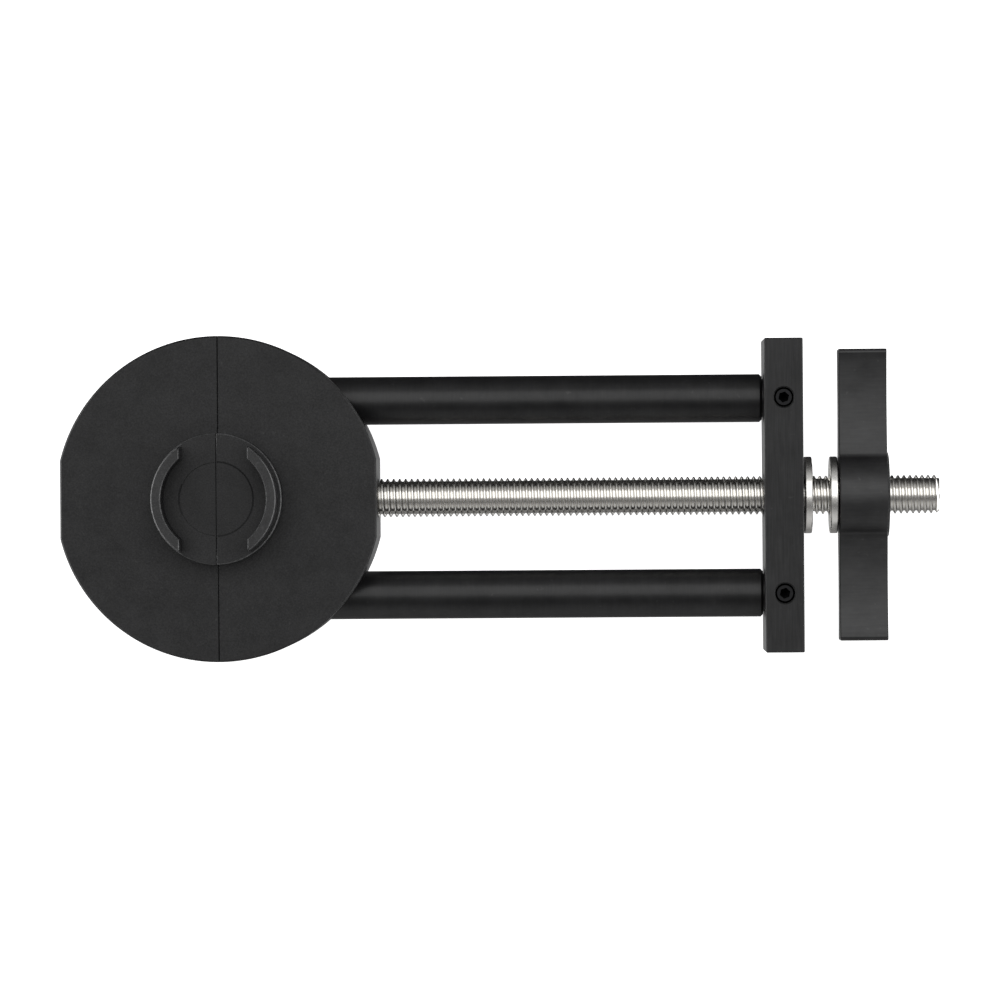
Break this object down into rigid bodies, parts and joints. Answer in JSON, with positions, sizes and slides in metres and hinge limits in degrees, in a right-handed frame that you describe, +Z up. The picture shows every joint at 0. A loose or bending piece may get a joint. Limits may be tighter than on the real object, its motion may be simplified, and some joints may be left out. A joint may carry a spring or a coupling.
{
  "type": "lens vise",
  "caption": "Lens vise: half-disc jaws with curved lugs slide on guide rods, spread by a wing nut and lead screw to straighten a bent ring.",
  "frame": {"origin": "bottom centre of the closed tool's box, on the plane that the jaws and the end block rest on", "axes": "+X along the guide rods from the fixed jaw to the wing nut, +Y across the rods, +Z up through the lugs"},
  "size_m": [0.1822, 0.0674, 0.0338],
  "materials": {
    "black_anodised_blasted": "bead-blasted and black anodised, satin",
    "black_anodised_milled": "milled and black anodised, satin",
    "black_anodised_rod": "turned and black anodised, satin",
    "black_anodised_nut": "extruded and black anodised, satin",
    "black_oxide_steel": "black oxide",
    "bright_steel_thread": "rolled thread, bright",
    "bright_steel_washer": "stamped, bright"
  },
  "bodies": {
    "frame": {"fixed_jaw": "black_anodised_blasted", "guide_rod_rear": "black_anodised_rod", "guide_rod_front": "black_anodised_rod", "end_block": "black_anodised_milled", "block_grub_rear": "black_oxide_steel", "block_grub_front": "black_oxide_steel", "jaw_grub_rear": "black_oxide_steel", "jaw_grub_front": "black_oxide_steel"},
    "slider": {"sliding_jaw": "black_anodised_blasted", "lead_screw": "bright_steel_thread", "screw_lock_grub": "black_oxide_steel"},
    "nut": {"wing_nut": "black_anodised_nut"},
    "inner_washer": {"block_washer": "bright_steel_washer"},
    "outer_washer": {"nut_washer": "bright_steel_washer"}
  },
  "joints": [
    {"name": "nut_spin", "type": "hinge", "parent": "frame", "child": "nut", "pos_m": [0.07523, 0, 0.01], "axis": [-1, 0, 0], "range_deg": [0, 21600]},
    {"name": "jaw_slide", "type": "slide", "parent": "frame", "child": "slider", "axis": [1, 0, 0], "range_m": [0, 0.075]},
    {"name": "inner_washer_slide", "type": "slide", "parent": "frame", "child": "inner_washer", "axis": [1, 0, 0], "range_m": [0, 0.0015]},
    {"name": "outer_washer_slide", "type": "slide", "parent": "frame", "child": "outer_washer", "axis": [1, 0, 0], "range_m": [-0.0015, 0]}
  ],
  "couplings": [
    {"joint": "nut_spin", "follows": "jaw_slide", "rad_per_m": 5026.5}
  ]
}
